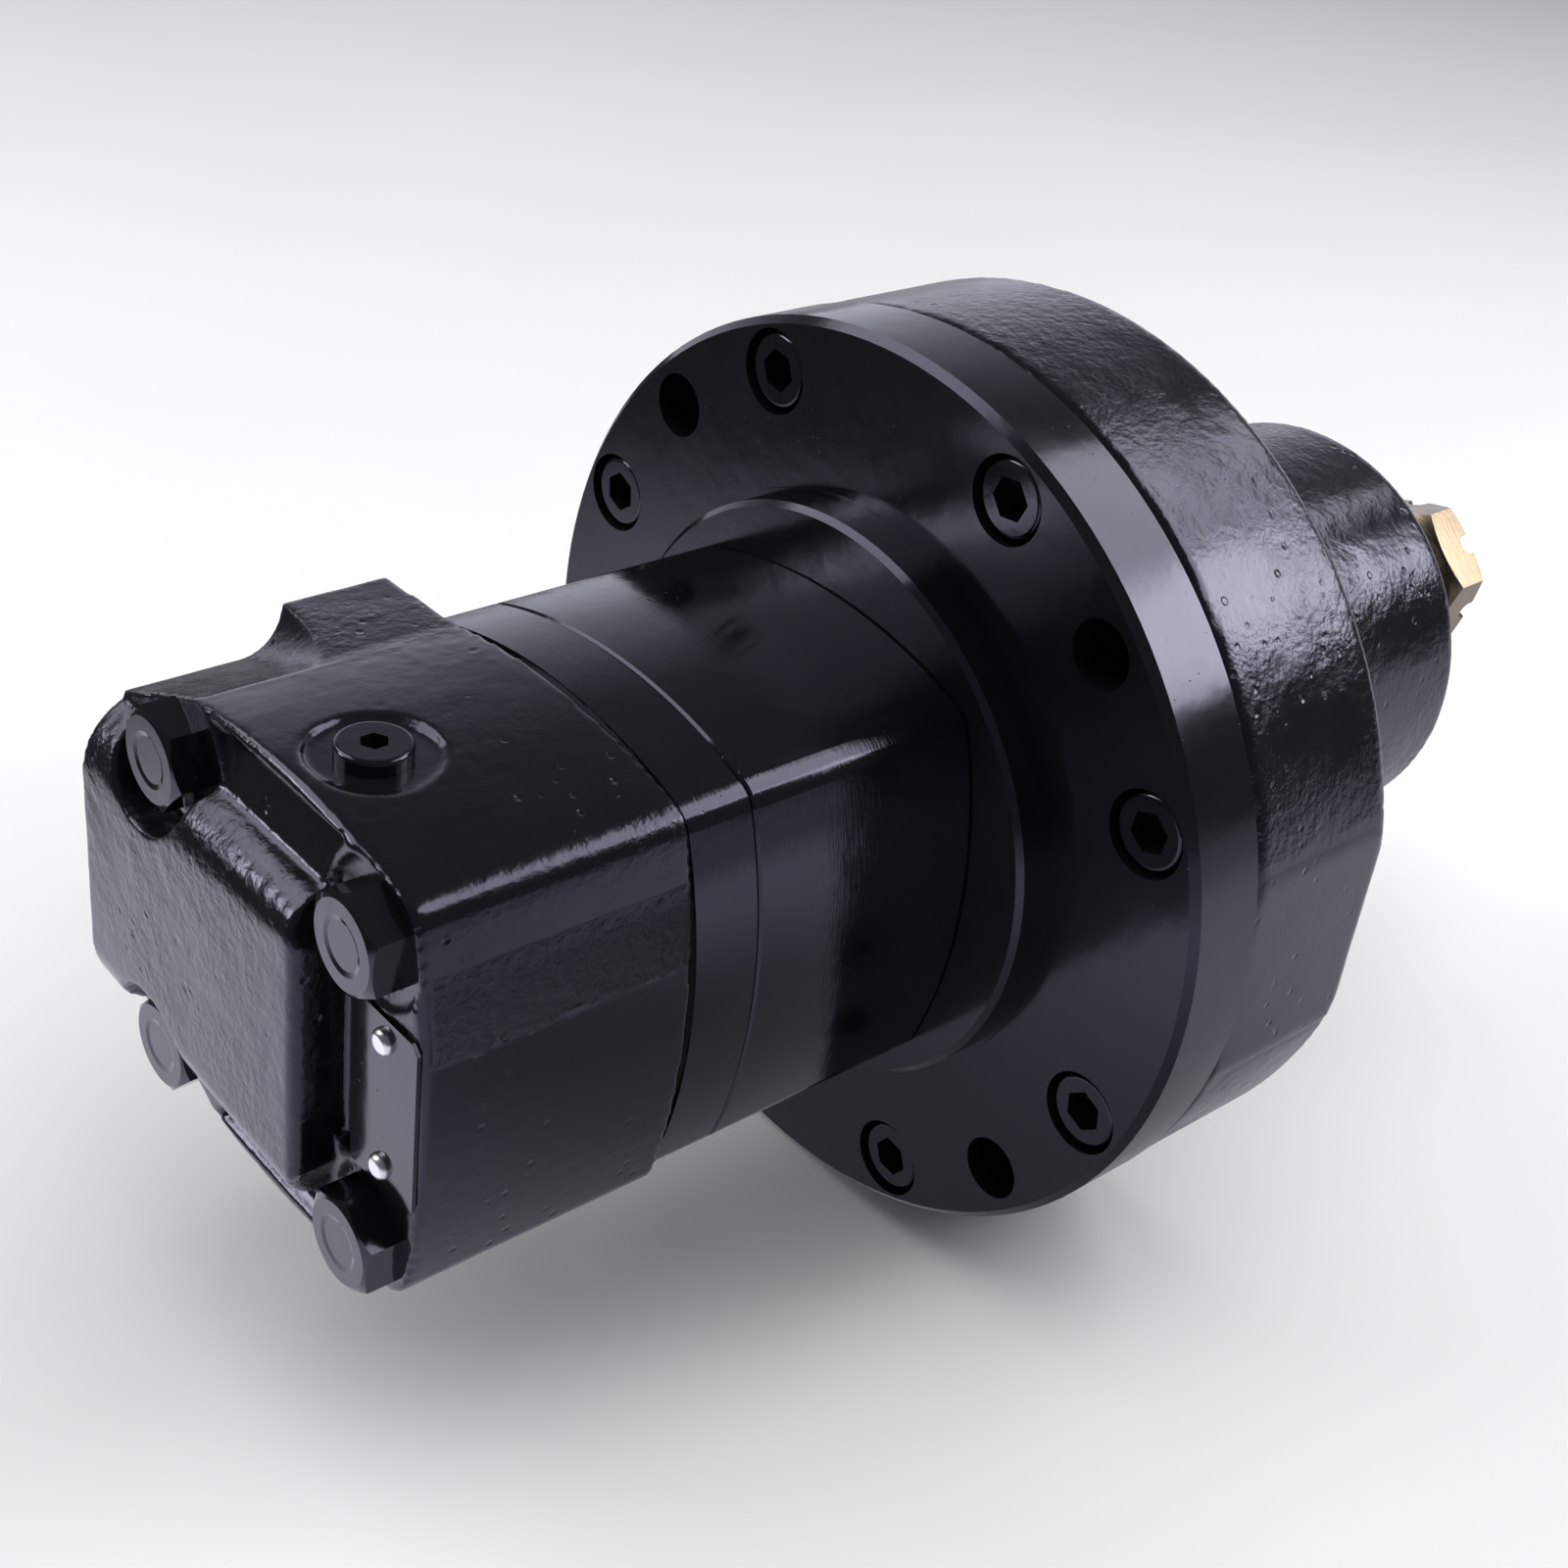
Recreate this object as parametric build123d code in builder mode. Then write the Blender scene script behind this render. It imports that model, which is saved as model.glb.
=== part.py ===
from build123d import *
from math import sin, cos, tan, pi, radians, degrees, sqrt, atan, atan2
import os

os.makedirs("parts", exist_ok=True)

# Orbital hydraulic motor with disc valve, spring-applied brake and tapered
# output shaft.  Frame: origin at the centre of the mounting flange's rear
# face, +X along the shaft towards the output end, +Y towards the port face,
# +Z up.  Millimetres.

# ------------------------------------------------------------ driving sizes
flange_r = 100.0          # mounting flange
flange_t = 18.5
pilot_r = 63.5            # 5 in pilot behind the flange
pilot_len = 8.5
mount_bolt_r = 89.0       # four M16 mounting holes
m16_r = 7.0
clamp_r = 88.6            # eight M10 socket screws
m10_head_r, m10_head_h, m10_r = 8.0, 10.0, 4.96

drum_r, drum_end = 99.6, 60.2         # brake housing drum
drum_flat = 97.0                      # machined flats on both sides
nose_r, nose_end = 50.4, 156.7        # bearing nose
nut_start, nut_end, nut_af = 202.3, 215.0, 36.5

body_hw, body_bulge = 48.6, 113.0     # geroler and valve plate outline
end_bulge = 150.0                     # end housing outline
x_geroler, x_plate, x_cover, x_back = -8.5, -62.8, -79.0, -136.0
hump_x, hump_z = -145.0, 19.5
bolt_pos, bolt_hole_r, bolt_r = 32.8, 6.3, 6.0
port_x, port_z = (-97.5, -120.0), (14.0, -14.0)
port_face = 55.0

roller_pitch, roller_r, ecc = 31.5, 6.2, 2.7   # geroler set, 6 lobes, 7 rollers
lobes = 6
star_gap = 0.06

spl_root, spl_tip = 13.2, 15.3        # internal splines
cavity_r = 33.5                       # valve chamber

brake_bore1, brake_bore2 = 80.0, 74.0
disc_t, disc_pitch, disc_x0 = 2.5, 2.56, 30.05

XS = Plane.YZ                          # sections across the shaft


def bulged(hw, big_r, corner, x, length):
    """Rounded square prism with bulged sides, from x to x + length."""
    with BuildPart() as p:
        with BuildSketch(XS.offset(x)) as s:
            with Locations((big_r - hw, 0)):
                Circle(big_r)
            for c in ((hw - big_r, 0), (0, hw - big_r), (0, big_r - hw)):
                with Locations(c):
                    Circle(big_r, mode=Mode.INTERSECT)
            fillet(s.vertices(), corner)
        extrude(amount=length)
    return p.part


def ring(x0, x1, r0, r1):
    """Plain ring between two radii, axis on X."""
    with BuildPart() as p:
        with BuildSketch(XS.offset(x0)):
            Circle(r1)
            if r0 > 0:
                Circle(r0, mode=Mode.SUBTRACT)
        extrude(amount=x1 - x0)
    return p.part


def turned(points):
    """Body of revolution about X from (x, r) points."""
    with BuildPart() as p:
        with BuildSketch(Plane.XY):
            with BuildLine():
                Polyline(*points, close=True)
            make_face()
        revolve(axis=Axis.X)
    return p.part


def torus_x(x, major, minor):
    with BuildPart() as p:
        with BuildSketch(Plane.XY):
            with Locations((x, major)):
                Circle(minor)
        revolve(axis=Axis.X)
    return p.part


# ------------------------------------------------------------- end housing
boss_x = -102.8
def hump_section(y, zc, r):
    """Outline of the rear hump at one distance y: flat back, rounded top and bottom."""
    with BuildSketch(Plane.XZ.offset(-y)) as p:
        with BuildLine():
            x0, x1, x2, m = hump_x, hump_x + r, -125.0, r * sqrt(0.5)
            Line((x2, -zc - r), (x1, -zc - r))
            ThreePointArc((x1, -zc - r), (x1 - m, -zc - m), (x0, -zc))
            Line((x0, -zc), (x0, zc))
            ThreePointArc((x0, zc), (x1 - m, zc + m), (x1, zc + r))
            Line((x1, zc + r), (x2, zc + r))
            Line((x2, zc + r), (x2, -zc - r))
        make_face()
    return p.sketch


with BuildPart() as hump:
    add(hump_section(port_face, hump_z, 14.5))
    add(hump_section(-21.5, 25.2, 8.0))
    loft(ruled=True)
    fillet([e for e in hump.faces().sort_by(Axis.Y)[0].edges() if e.center().X < -126.0], 2.2)

# wedge-shaped recesses above and below the hump, with a ridge around the bolts
with BuildPart() as valleys:
    for sgn in (1, -1):
        with BuildSketch(Plane.XZ.offset(26.0)):
            with BuildLine():
                Polyline((-138.0, sgn * 33.6), (-136.0, sgn * 33.5), (-132.9, sgn * 42.6),
                         (-133.5, sgn * 44.0), (-136.2, sgn * 46.2), (-138.0, sgn * 46.2), close=True)
            make_face()
        extrude(amount=-52.0)
    with BuildSketch(XS.offset(-140.0)):
        with GridLocations(2 * bolt_pos, 2 * bolt_pos, 2, 2):
            Circle(15.9)
    extrude(amount=10.0, mode=Mode.SUBTRACT)

def shelf_cut(sgn):
    """Space above one sloping shelf, rounded where the boss rises from it."""
    with BuildPart() as p:
        with BuildSketch(XS.offset(boss_x)):
            with BuildLine():
                Polyline((27.5, sgn * 46.1), (58.0, sgn * 32.9), (58.0, sgn * 60.0),
                         (27.5, sgn * 60.0), close=True)
            make_face()
        extrude(amount=-50.0)
        fillet(p.edges().filter_by(
            lambda e: abs(e.center().X - boss_x) < 0.1 and abs(e.center().Y - 42.75) < 0.1
            and abs(e.center().Z) < 50.0), 9.0)
    return p.part


with BuildPart() as end_housing:
    add(bulged(body_hw, end_bulge, 7.0, x_back, x_cover - x_back))
    fillet(end_housing.faces().sort_by(Axis.X)[0].edges(), 1.6)
    # rear hump
    add(hump.part)
    # port block, up to the port face
    with BuildSketch(Plane.XZ.offset(-port_face)) as block_s:
        with BuildLine():
            Polyline((x_back, 45.5), (x_cover, 45.5), (x_cover, -45.5), (x_back, -45.5), close=True)
        make_face()
    extrude(amount=port_face - 28.0)
    # sloping top and bottom of the boss
    with BuildSketch(XS.offset(x_cover + 1.0)):
        with BuildLine():
            Polyline((30.0, 45.6), (60.0, 44.0), (60.0, 60.0), (30.0, 60.0), close=True)
        make_face()
        with BuildLine():
            Polyline((30.0, -45.6), (60.0, -44.0), (60.0, -60.0), (30.0, -60.0), close=True)
        make_face()
    extrude(amount=-70.0, mode=Mode.SUBTRACT)
    # shelves behind the boss, sloping towards the port face
    add(shelf_cut(1), mode=Mode.SUBTRACT)
    add(shelf_cut(-1), mode=Mode.SUBTRACT)
    add(valleys.part, mode=Mode.SUBTRACT)
    # step beside the hump, towards the nameplate pad
    with BuildSketch(XS.offset(-137.5)):
        with Locations((-24.4, 0)):
            Rectangle(5.6, 38.0)
    extrude(amount=3.6, mode=Mode.SUBTRACT)
    # bolt pockets and through holes
    with BuildSketch(XS.offset(-150.0)):
        with GridLocations(2 * bolt_pos, 2 * bolt_pos, 2, 2):
            Circle(13.75)
    extrude(amount=14.9, mode=Mode.SUBTRACT)
    with BuildSketch(XS.offset(-150.0)):
        with GridLocations(2 * bolt_pos, 2 * bolt_pos, 2, 2):
            Circle(bolt_hole_r)
    extrude(amount=80.0, mode=Mode.SUBTRACT)
    # valve chamber
    with BuildSketch(XS.offset(-106.0)):
        Circle(cavity_r)
    extrude(amount=27.0, mode=Mode.SUBTRACT)
    with BuildSketch(XS.offset(-116.0)):
        Circle(12.0)
    extrude(amount=10.0, mode=Mode.SUBTRACT)
    # locating pin holes of the balance ring
    with BuildSketch(XS.offset(-112.0)):
        with Locations((0, 24.0), (0, -24.0)):
            Circle(1.53)
    extrude(amount=6.0, mode=Mode.SUBTRACT)
    # face seal groove
    with BuildSketch(XS.offset(x_cover)):
        Circle(39.85)
        Circle(37.95, mode=Mode.SUBTRACT)
    extrude(amount=-1.8, mode=Mode.SUBTRACT)
    # two threaded ports with spotfaces, and their passages
    for px, pz in zip(port_x, port_z):
        with BuildSketch(Plane.XZ.offset(-port_face)):
            with Locations((px, pz)):
                Circle(17.0)
        extrude(amount=0.8, mode=Mode.SUBTRACT)
        with BuildSketch(Plane.XZ.offset(-port_face)):
            with Locations((px, pz)):
                Circle(10.2)
        extrude(amount=19.0, mode=Mode.SUBTRACT)
    with BuildSketch(Plane.XZ.offset(-37.0)):
        with Locations((port_x[0], port_z[0])):
            Circle(6.0)
    extrude(amount=10.0, mode=Mode.SUBTRACT)
    with BuildSketch(Plane.XZ.offset(-37.0)):
        with Locations((port_x[1], port_z[1])):
            Circle(6.0)
    extrude(amount=15.0, mode=Mode.SUBTRACT)
    with BuildSketch(XS.offset(-122.0)):
        with Locations((25.5, port_z[1])):
            Circle(4.0)
    extrude(amount=18.0, mode=Mode.SUBTRACT)
    # case drain: spotface, thread and drilling to the chamber
    with BuildSketch(Plane.XY.offset(47.2)):
        with Locations((-119.5, -5.5)):
            Circle(12.5)
    extrude(amount=5.0, mode=Mode.SUBTRACT)
    with BuildSketch(Plane.XY.offset(47.3)):
        with Locations((-119.5, -5.5)):
            Circle(4.97)
    extrude(amount=-12.3, mode=Mode.SUBTRACT)
    with BuildSketch(Plane.XY.offset(36.0)):
        with Locations((-119.5, -5.5)):
            Circle(2.5)
    extrude(amount=-36.0, mode=Mode.SUBTRACT)
end_housing.part.label = "end_housing"
export_step(end_housing.part, "parts/end_housing.step")

# --------------------------------------------------------------- nameplate
with BuildPart() as nameplate:
    with BuildSketch(XS.offset(x_back)) as np_s:
        with BuildLine():
            Polyline((-27.6, 18.8), (-45.6, 18.8), (-47.4, 17.0), (-47.4, -17.0),
                     (-45.6, -18.8), (-27.6, -18.8), close=True)
        make_face()
        with Locations((-37.6, 14.0), (-37.4, -13.8)):
            Circle(1.1, mode=Mode.SUBTRACT)
    extrude(amount=-0.8)
    with BuildSketch(XS.offset(-150.0)):
        with GridLocations(2 * bolt_pos, 2 * bolt_pos, 2, 2):
            Circle(14.0)
    extrude(amount=20.0, mode=Mode.SUBTRACT)
nameplate.part.label = "nameplate"
export_step(nameplate.part, "parts/nameplate.step")

with BuildPart() as nameplate_rivets:
    with BuildSketch(XS.offset(x_back)):
        with Locations((-37.6, 14.0), (-37.4, -13.8)):
            Circle(1.06)
    extrude(amount=-0.82)
    with BuildSketch(XS.offset(x_back - 0.8)):
        with Locations((-37.6, 14.0), (-37.4, -13.8)):
            Circle(2.6)
    extrude(amount=-1.5)
    fillet(nameplate_rivets.faces().filter_by(Axis.X).group_by(Axis.X)[0].edges(), 1.3)
nameplate_rivets.part.label = "nameplate_rivets"
export_step(nameplate_rivets.part, "parts/nameplate_rivets.step")

# -------------------------------------------------------------- drain plug
drain = (-119.5, -5.5)
with BuildPart() as drain_plug:
    with BuildSketch(Plane.XY.offset(47.25)):
        with Locations(drain):
            Circle(7.1)
    extrude(amount=3.15)
    fillet(drain_plug.faces().sort_by(Axis.Z)[-1].edges(), 0.9)
    with BuildSketch(Plane.XY.offset(38.0)):
        with Locations(drain):
            Circle(4.9)
    extrude(amount=9.25)
    chamfer(drain_plug.faces().sort_by(Axis.Z)[0].edges(), 0.8)
    with BuildSketch(Plane.XY.offset(50.4)):
        with Locations(drain):
            RegularPolygon(4.76 / 2, 6, major_radius=False)
    extrude(amount=-4.2, mode=Mode.SUBTRACT)
    # undercut for the seal
    with BuildSketch(Plane.XY.offset(47.25)):
        with Locations(drain):
            Circle(6.4)
            Circle(4.9, mode=Mode.SUBTRACT)
    extrude(amount=0.95, mode=Mode.SUBTRACT)
drain_plug.part.label = "drain_plug"
export_step(drain_plug.part, "parts/drain_plug.step")

with BuildPart() as drain_plug_oring:
    with BuildSketch(Plane.XZ.offset(-drain[1])):
        with Locations((drain[0] + 5.65, 47.72)):
            Circle(0.45)
    revolve(axis=Axis((drain[0], drain[1], 0), (0, 0, 1)))
drain_plug_oring.part.label = "drain_plug_oring"
export_step(drain_plug_oring.part, "parts/drain_plug_oring.step")

# ------------------------------------------------------------ section bolts
bolt_turn = {(1, 1): 11.3, (-1, 1): 31.2, (1, -1): 14.0, (-1, -1): 36.4}
head_x, head_af = -135.1, 18.0
with BuildPart() as end_bolts:
    for (sy, sz), turn in bolt_turn.items():
        with BuildSketch(XS.offset(head_x)):
            with Locations((sy * bolt_pos, sz * bolt_pos)):
                RegularPolygon(head_af / 2, 6, major_radius=False, rotation=turn)
        extrude(amount=-7.3)
    # chamfered corners and the shallow dish in the face of each head
    for sy, sz in bolt_turn:
        with BuildSketch(Plane.XY.offset(sz * bolt_pos)):
            with BuildLine():
                y0 = sy * bolt_pos
                Polyline((head_x - 9.0, y0 + 8.5), (head_x - 7.3, y0 + 8.5), (head_x - 5.9, y0 + 10.9),
                         (head_x - 5.9, y0 + 12.5), (head_x - 9.0, y0 + 12.5), close=True)
            make_face()
            with BuildLine():
                Polyline((head_x - 9.0, y0), (head_x - 7.05, y0), (head_x - 7.05, y0 + 4.6),
                         (head_x - 7.3, y0 + 5.6), (head_x - 9.0, y0 + 5.6), close=True)
            make_face()
        revolve(axis=Axis((0, sy * bolt_pos, sz * bolt_pos), (1, 0, 0)), mode=Mode.SUBTRACT)
    with BuildSketch(XS.offset(head_x)):
        with GridLocations(2 * bolt_pos, 2 * bolt_pos, 2, 2):
            Circle(bolt_r)
    extrude(amount=9.5 - head_x)
end_bolts.part.label = "end_bolts"
export_step(end_bolts.part, "parts/end_bolts.step")

# ------------------------------------------------------- balance ring set
with BuildPart() as balance_ring:
    add(ring(-103.9, -97.04, 19.0, 29.5))
    with BuildSketch(XS.offset(-103.9)):
        with Locations((0, 24.0), (0, -24.0)):
            Circle(1.53)
    extrude(amount=4.0, mode=Mode.SUBTRACT)
    with BuildSketch(XS.offset(-97.04)):
        Circle(26.5)
        Circle(24.0, mode=Mode.SUBTRACT)
    extrude(amount=-1.2, mode=Mode.SUBTRACT)
balance_ring.part.label = "balance_ring"
export_step(balance_ring.part, "parts/balance_ring.step")

with BuildPart() as balance_spring:
    add(ring(-105.98, -103.92, 26.2, 28.8))
    with BuildSketch(XS.offset(-105.98)):
        with PolarLocations(27.5, 3):
            Rectangle(5.0, 16.0)
    extrude(amount=0.9, mode=Mode.SUBTRACT)
    with BuildSketch(XS.offset(-103.92)):
        with PolarLocations(27.5, 3, start_angle=60):
            Rectangle(5.0, 16.0)
    extrude(amount=-0.9, mode=Mode.SUBTRACT)
balance_spring.part.label = "balance_spring"
export_step(balance_spring.part, "parts/balance_spring.step")

with BuildPart() as balance_pins:
    with BuildSketch(XS.offset(-111.5)):
        with Locations((0, 24.0), (0, -24.0)):
            Circle(1.5)
    extrude(amount=11.0)
balance_pins.part.label = "balance_pins"
export_step(balance_pins.part, "parts/balance_pins.step")


def spline_bore(x0, x1):
    """Internal spline cutter: round bore with twelve slots."""
    with BuildPart() as p:
        with BuildSketch(XS.offset(x0)) as s:
            Circle(spl_root)
            with PolarLocations(spl_tip / 2, 12):
                Rectangle(spl_tip, 4.0)
            Circle(spl_tip, mode=Mode.INTERSECT)
        extrude(amount=x1 - x0)
    return p.part


# --------------------------------------------------------------- disc valve
with BuildPart() as disc_valve:
    add(ring(-97.0, x_cover - 0.02, 0, 30.0))
    add(spline_bore(-98.0, -78.0), mode=Mode.SUBTRACT)
    with BuildSketch(XS.offset(-98.0)):
        with PolarLocations(25.2, 6):
            SlotOverall(7.0, 4.6, rotation=90)
    extrude(amount=20.0, mode=Mode.SUBTRACT)
    with BuildSketch(XS.offset(x_cover)):
        with PolarLocations(27.6, 6, start_angle=30):
            Rectangle(9.4, 4.6)
    extrude(amount=-8.0, mode=Mode.SUBTRACT)
    with BuildSketch(XS.offset(-92.5)):
        Circle(31.0)
        Circle(28.4, mode=Mode.SUBTRACT)
    extrude(amount=5.0, mode=Mode.SUBTRACT)
disc_valve.part.label = "disc_valve"
export_step(disc_valve.part, "parts/disc_valve.step")

# -------------------------------------------------------------- valve plate
with BuildPart() as valve_plate:
    # full outline with a shallow groove where the plate meets each neighbour
    add(bulged(body_hw, body_bulge, 7.0, x_cover + 1.1, x_plate - x_cover - 1.9))
    add(bulged(body_hw - 0.9, body_bulge, 6.1, x_cover, 2.0))
    add(bulged(body_hw - 0.8, body_bulge, 6.2, x_plate - 2.0, 2.0))
    with BuildSketch(XS.offset(x_cover)):
        Circle(18.0)
        with GridLocations(2 * bolt_pos, 2 * bolt_pos, 2, 2):
            Circle(bolt_hole_r)
        with PolarLocations(25.2, 7, start_angle=180 / 7):
            Circle(3.0)
    extrude(amount=20.0, mode=Mode.SUBTRACT)
    with BuildSketch(XS.offset(x_plate)):
        Circle(39.85)
        Circle(37.95, mode=Mode.SUBTRACT)
    extrude(amount=-1.8, mode=Mode.SUBTRACT)
valve_plate.part.label = "valve_plate"
export_step(valve_plate.part, "parts/valve_plate.step")

# ------------------------------------------------------------- geroler ring
with BuildPart() as geroler_ring:
    add(bulged(body_hw, body_bulge, 7.0, x_plate, x_geroler - x_plate))
    with BuildSketch(XS.offset(x_plate)):
        Circle(31.0)
        with PolarLocations(roller_pitch, lobes + 1):
            Circle(roller_r + 0.04)
        with GridLocations(2 * bolt_pos, 2 * bolt_pos, 2, 2):
            Circle(bolt_hole_r)
    extrude(amount=x_geroler - x_plate, mode=Mode.SUBTRACT)
    chamfer(geroler_ring.faces().sort_by(Axis.X)[0].outer_wire().edges(), 0.5)
    chamfer(geroler_ring.faces().sort_by(Axis.X)[-1].outer_wire().edges(), 0.5)
geroler_ring.part.label = "geroler_ring"
export_step(geroler_ring.part, "parts/geroler_ring.step")

for k in range(lobes + 1):
    a = 2 * pi * k / (lobes + 1)
    with BuildPart() as roller:
        with BuildSketch(XS.offset(x_plate + 0.1)):
            with Locations((roller_pitch * cos(a), roller_pitch * sin(a))):
                Circle(roller_r)
        extrude(amount=x_geroler - x_plate - 0.2)
        chamfer(roller.edges().filter_by(GeomType.CIRCLE), 0.4)
    roller.part.label = "geroler_roller_%d" % (k + 1)
    export_step(roller.part, "parts/geroler_roller_%d.step" % (k + 1))

# ---------------------------------------------------------------- the star
star_pts = []
n_pts = 24 * lobes
for i in range(n_pts):
    u = 2 * pi * i / n_pts
    px = roller_pitch * cos(u) - ecc * cos((lobes + 1) * u)
    py = roller_pitch * sin(u) - ecc * sin((lobes + 1) * u)
    tx = -roller_pitch * sin(u) + (lobes + 1) * ecc * sin((lobes + 1) * u)
    ty = roller_pitch * cos(u) - (lobes + 1) * ecc * cos((lobes + 1) * u)
    tl = sqrt(tx * tx + ty * ty)
    off = roller_r + star_gap
    star_pts.append((ecc + px - ty / tl * off, py + tx / tl * off))
with BuildPart() as geroler_star:
    with BuildSketch(XS.offset(x_plate + 0.1)):
        with BuildLine():
            Spline(*star_pts, periodic=True)
        make_face()
    extrude(amount=x_geroler - x_plate - 0.2)
    star_bore = spline_bore(x_plate - 1.0, x_geroler + 1.0).moved(Location((0, ecc, 0)))
    add(star_bore, mode=Mode.SUBTRACT)
geroler_star.part.label = "geroler_star"
export_step(geroler_star.part, "parts/geroler_star.step")

# -------------------------------------------------------- splined drives


def drive(xa, ya, xb, yb, half_a, half_b):
    """Dog-bone shaft with crowned spline heads centred at both ends."""
    dx, dy = xb - xa, yb - ya
    ln = sqrt(dx * dx + dy * dy)
    base = Plane(origin=(xa, ya, 0), x_dir=(-dy / ln, dx / ln, 0), z_dir=(dx / ln, dy / ln, 0))
    prof = Plane(origin=(xa, ya, 0), x_dir=(dx / ln, dy / ln, 0), z_dir=(0, 0, 1))
    axis = Axis((xa, ya, 0), (dx / ln, dy / ln, 0))
    with BuildPart() as p:
        # shank with a root collar at each head
        with BuildSketch(prof):
            with BuildLine():
                Polyline((-half_a, 0), (-half_a, 12.4), (half_a, 12.4), (half_a + 2, 11.0),
                         (ln - half_b - 2, 11.0), (ln - half_b, 12.4), (ln + half_b, 12.4),
                         (ln + half_b, 0), close=True)
            make_face()
        revolve(axis=axis)
        for c, h in ((0.0, half_a), (ln, half_b)):
            with BuildPart(mode=Mode.PRIVATE) as teeth:
                with BuildSketch(base.offset(c - h)):
                    with PolarLocations(7.6, 12):
                        Rectangle(15.2, 3.0)
                extrude(amount=2 * h)
            with BuildPart(mode=Mode.PRIVATE) as barrel:
                with BuildSketch(prof):
                    with BuildLine():
                        Polyline((c - h, 0), (c - h, 13.9))
                        ThreePointArc((c - h, 13.9), (c, 14.7), (c + h, 13.9))
                        Polyline((c + h, 13.9), (c + h, 0), (c - h, 0))
                    make_face()
                revolve(axis=axis)
            add(teeth.part & barrel.part)
    return p.part


with BuildPart() as drive_link:
    add(drive(-30.0, ecc, 34.0, 0.0, 6.0, 6.0))
drive_link.part.label = "drive_link"
export_step(drive_link.part, "parts/drive_link.step")

with BuildPart() as valve_drive:
    add(drive(-92.0, 0.0, -50.0, ecc, 4.5, 4.5))
valve_drive.part.label = "valve_drive"
export_step(valve_drive.part, "parts/valve_drive.step")

with BuildPart() as drive_spacer:
    with BuildSketch(XS.offset(-44.3)):
        with Locations((ecc, 0)):
            Circle(11.5)
    extrude(amount=6.6)
    chamfer(drive_spacer.edges().filter_by(GeomType.CIRCLE), 1.2)
drive_spacer.part.label = "drive_spacer"
export_step(drive_spacer.part, "parts/drive_spacer.step")

# ------------------------------------------------------------ section seals
with BuildPart() as section_seals:
    add(torus_x(x_cover - 0.9, 38.9, 0.85))
    add(torus_x(x_plate - 0.9, 38.9, 0.85))
    add(torus_x(x_geroler + 0.9, 38.9, 0.85))
section_seals.part.label = "section_seals"
export_step(section_seals.part, "parts/section_seals.step")

# --------------------------------------------------------- mounting flange
with BuildPart() as mounting_flange:
    add(turned([(-pilot_len, 18.0), (-pilot_len, pilot_r - 1.2), (-pilot_len + 1.2, pilot_r),
                (-0.6, pilot_r), (-0.6, pilot_r + 1.1), (0.0, pilot_r + 1.1),
                (0.0, flange_r - 1.6), (1.6, flange_r), (flange_t - 0.4, flange_r),
                (flange_t, flange_r - 0.4), (flange_t, 24.0), (-4.0, 24.0), (-4.0, 18.0)]))
    # spring pockets
    with BuildSketch(XS.offset(6.0)):
        with PolarLocations(66.0, 12, start_angle=15):
            Circle(5.5)
    extrude(amount=20.0, mode=Mode.SUBTRACT)
    # cover seal groove
    with BuildSketch(XS.offset(flange_t)):
        Circle(82.7)
        Circle(80.7, mode=Mode.SUBTRACT)
    extrude(amount=-1.8, mode=Mode.SUBTRACT)
    # section seal groove
    with BuildSketch(XS.offset(x_geroler)):
        Circle(39.85)
        Circle(37.95, mode=Mode.SUBTRACT)
    extrude(amount=1.8, mode=Mode.SUBTRACT)
    # counterbored screw holes
    with BuildSketch(XS.offset(-1.0)):
        with PolarLocations(clamp_r, 8, start_angle=22.5):
            Circle(9.0)
    extrude(amount=12.0, mode=Mode.SUBTRACT)
    with BuildSketch(XS.offset(-1.0)):
        with PolarLocations(clamp_r, 8, start_angle=22.5):
            Circle(5.3)
    extrude(amount=25.0, mode=Mode.SUBTRACT)
    # mounting holes
    with BuildSketch(XS.offset(-1.0)):
        with PolarLocations(mount_bolt_r, 4, start_angle=45):
            Circle(m16_r)
    extrude(amount=25.0, mode=Mode.SUBTRACT)
    # threads of the section bolts
    with BuildSketch(XS.offset(-10.0)):
        with GridLocations(2 * bolt_pos, 2 * bolt_pos, 2, 2):
            Circle(bolt_r + 0.02)
    extrude(amount=22.0, mode=Mode.SUBTRACT)
mounting_flange.part.label = "mounting_flange"
export_step(mounting_flange.part, "parts/mounting_flange.step")

with BuildPart() as flange_screws:
    with BuildSketch(XS.offset(1.0)):
        with PolarLocations(clamp_r, 8, start_angle=22.5):
            Circle(m10_head_r)
    extrude(amount=m10_head_h)
    fillet(flange_screws.faces().filter_by(Axis.X).group_by(Axis.X)[0].edges(), 1.0)
    with BuildSketch(XS.offset(11.0)):
        with PolarLocations(clamp_r, 8, start_angle=22.5):
            Circle(m10_r)
    extrude(amount=33.0)
    with BuildSketch(XS.offset(1.0)):
        with PolarLocations(clamp_r, 8, start_angle=22.5):
            RegularPolygon(4.0, 6, major_radius=False)
    extrude(amount=5.2, mode=Mode.SUBTRACT)
flange_screws.part.label = "flange_screws"
export_step(flange_screws.part, "parts/flange_screws.step")

with BuildPart() as brake_cover_seal:
    add(torus_x(flange_t - 0.9, 81.7, 0.85))
brake_cover_seal.part.label = "brake_cover_seal"
export_step(brake_cover_seal.part, "parts/brake_cover_seal.step")

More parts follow.
